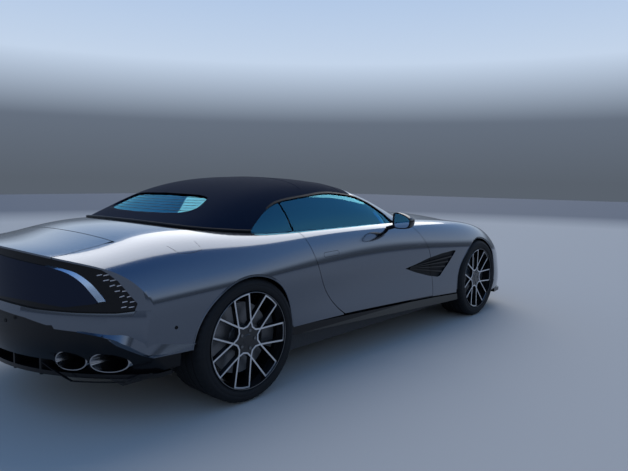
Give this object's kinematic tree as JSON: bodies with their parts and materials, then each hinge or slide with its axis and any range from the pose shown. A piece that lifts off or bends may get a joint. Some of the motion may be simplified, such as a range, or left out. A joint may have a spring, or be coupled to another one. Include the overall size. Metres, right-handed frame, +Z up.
{
  "type": "two-door open grand tourer car with a fabric roof",
  "caption": "Low, wide two-door sports car with a closed fabric roof, hinged doors, front-hinged bonnet, boot lid, steered front wheels and freely turning wheels.",
  "frame": {"origin": "on the ground, midway between nose and tail, on the centreline", "axes": "+X towards the nose, +Y to the car's left, +Z up"},
  "size_m": [4.848, 2.188, 1.2828],
  "materials": {
    "body_paint": "dark metallic grey, clear coated",
    "glass": "tinted",
    "top_fabric": "woven",
    "gloss_black": "gloss",
    "satin_black": "satin",
    "dark_chrome": "dark polished",
    "red_lens": "smoked red",
    "clear_lens": "clear",
    "chassis_grey": "satin",
    "cast_alloy": "cast",
    "hide": "fine grain",
    "tyre": "matte",
    "wheel_black": "gloss black with machined edges"
  },
  "bodies": {
    "root": {"quarter_glass": "glass", "windscreen_frame": "body_paint", "windscreen": "glass", "rear_window": "glass", "soft_top": "top_fabric", "tonneau_cover": "body_paint", "rear_body": "body_paint", "rear_bumper": "body_paint", "rear_diffuser": "gloss_black", "exhaust_tips": "dark_chrome", "tail_lamps": "red_lens", "rear_shield": "gloss_black", "headlamps": "clear_lens", "cowl_panel": "satin_black", "front_fenders": "body_paint", "front_bumper": "body_paint", "front_grille": "gloss_black", "front_splitter": "gloss_black", "sills": "gloss_black", "chassis": "chassis_grey", "engine_block": "cast_alloy", "seats": "hide", "dashboard": "hide", "centre_console": "hide", "suspension_front": "cast_alloy", "suspension_rear": "cast_alloy", "transaxle": "cast_alloy", "wheel_liners": "satin_black", "side_vents": "gloss_black", "boot_tub": "satin_black", "bulkheads": "chassis_grey"},
    "door_left": {"door_left": "body_paint", "door_glass_left": "glass", "mirror_left": "gloss_black"},
    "door_right": {"door_right": "body_paint", "door_glass_right": "glass", "mirror_right": "gloss_black"},
    "bonnet": {"bonnet": "body_paint"},
    "boot_lid": {"boot_lid": "body_paint"},
    "steering_wheel": {"steering_wheel": "hide"},
    "knuckle_left": {"knuckle_left": "cast_alloy"},
    "knuckle_right": {"knuckle_right": "cast_alloy"},
    "wheel_front_left": {"tyre_front_left": "tyre", "rim_front_left": "wheel_black"},
    "wheel_front_right": {"tyre_front_right": "tyre", "rim_front_right": "wheel_black"},
    "wheel_rear_left": {"tyre_rear_left": "tyre", "rim_rear_left": "wheel_black"},
    "wheel_rear_right": {"tyre_rear_right": "tyre", "rim_rear_right": "wheel_black"}
  },
  "joints": [
    {"name": "door_left_hinge", "type": "hinge", "parent": "root", "child": "door_left", "pos_m": [0.675, 0.895, 0.33], "axis": [0.2487, 0, -0.9686], "range_deg": [0, 60]},
    {"name": "door_right_hinge", "type": "hinge", "parent": "root", "child": "door_right", "pos_m": [0.675, -0.895, 0.33], "axis": [-0.2487, 0, 0.9686], "range_deg": [0, 60]},
    {"name": "bonnet_hinge", "type": "hinge", "parent": "root", "child": "bonnet", "pos_m": [2.298, 0, 0.582], "axis": [0, 1, 0], "range_deg": [0, 48]},
    {"name": "boot_lid_hinge", "type": "hinge", "parent": "root", "child": "boot_lid", "pos_m": [-2.01, 0, 0.893], "axis": [0, 1, 0], "range_deg": [0, 60]},
    {"name": "steer_left", "type": "hinge", "parent": "root", "child": "knuckle_left", "pos_m": [1.545, 0.775, 0.357], "axis": [0, 0, 1], "range_deg": [-33, 33]},
    {"name": "steer_right", "type": "hinge", "parent": "root", "child": "knuckle_right", "pos_m": [1.545, -0.775, 0.357], "axis": [0, 0, 1], "range_deg": [-33, 33]},
    {"name": "steering_wheel_turn", "type": "hinge", "parent": "root", "child": "steering_wheel", "pos_m": [0.04, 0.38, 0.73], "axis": [-0.9397, 0, 0.3419], "range_deg": [-429, 429]},
    {"name": "wheel_front_left_spin", "type": "hinge", "parent": "knuckle_left", "child": "wheel_front_left", "pos_m": [1.545, 0.82, 0.357], "axis": [0, 1, 0], "continuous": true},
    {"name": "wheel_front_right_spin", "type": "hinge", "parent": "knuckle_right", "child": "wheel_front_right", "pos_m": [1.545, -0.82, 0.357], "axis": [0, 1, 0], "continuous": true},
    {"name": "wheel_rear_left_spin", "type": "hinge", "parent": "root", "child": "wheel_rear_left", "pos_m": [-1.34, 0.82, 0.357], "axis": [0, 1, 0], "continuous": true},
    {"name": "wheel_rear_right_spin", "type": "hinge", "parent": "root", "child": "wheel_rear_right", "pos_m": [-1.34, -0.82, 0.357], "axis": [0, 1, 0], "continuous": true}
  ],
  "couplings": [
    {"joint": "steer_right", "follows": "steer_left", "ratio": 1},
    {"joint": "steering_wheel_turn", "follows": "steer_left", "ratio": 13}
  ]
}
